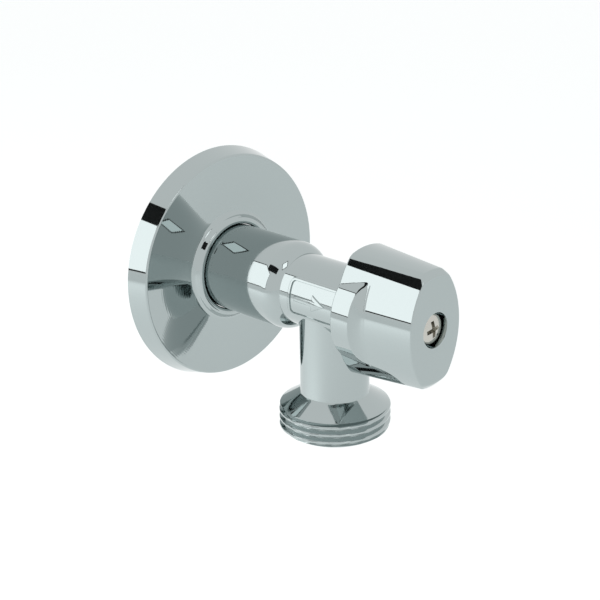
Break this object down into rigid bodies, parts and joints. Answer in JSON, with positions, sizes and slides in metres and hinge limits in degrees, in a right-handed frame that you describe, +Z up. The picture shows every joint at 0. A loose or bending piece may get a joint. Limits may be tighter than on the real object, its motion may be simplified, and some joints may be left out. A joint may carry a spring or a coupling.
{
  "type": "angle valve",
  "caption": "Chromed wall-mounted angle valve with a threaded inlet, a round cover plate, an oblong turning handle and a threaded hose outlet that points down.",
  "frame": {"origin": "on the inlet axis, in the wall plane where the escutcheon's rim rests", "axes": "+Y along the inlet thread into the wall, -Y out of the wall along the spindle, +Z up, outlet thread along -Z"},
  "size_m": [0.0576, 0.0849, 0.0612],
  "materials": {
    "polished_chrome": "mirror polished",
    "cast_chrome": "polished over a casting",
    "handle_chrome": "mirror polished",
    "bare_brass": "machined",
    "steel": "satin",
    "screw_steel": "nickel plated",
    "black_rubber": "matte",
    "white_plastic": "matte",
    "fibre": "matte"
  },
  "bodies": {
    "valve": {"valve_body": "cast_chrome", "headwork": "bare_brass", "headwork_gasket": "fibre"},
    "cover": {"escutcheon": "polished_chrome"},
    "control": {"handle": "handle_chrome", "handle_screw": "screw_steel", "lock_washer": "steel", "spindle": "bare_brass", "spindle_o_ring_rear": "black_rubber", "spindle_o_ring_front": "black_rubber", "thrust_washer": "white_plastic", "retaining_clip": "steel"},
    "shutter": {"carrier": "bare_brass", "seat_washer": "black_rubber", "seat_washer_plate": "steel", "seat_washer_screw": "steel"}
  },
  "joints": [
    {"name": "handle_turn", "type": "hinge", "parent": "valve", "child": "control", "pos_m": [0, -0.0525, 0], "axis": [0, -1, 0], "range_deg": [0, 450]},
    {"name": "shutter_lift", "type": "slide", "parent": "valve", "child": "shutter", "axis": [0, -1, 0], "range_m": [0, 0.0025]},
    {"name": "escutcheon_slide", "type": "slide", "parent": "valve", "child": "cover", "axis": [0, -1, 0], "range_m": [0, 0.016]}
  ],
  "couplings": [
    {"joint": "shutter_lift", "follows": "handle_turn", "m_per_rad": 0.0003183}
  ]
}
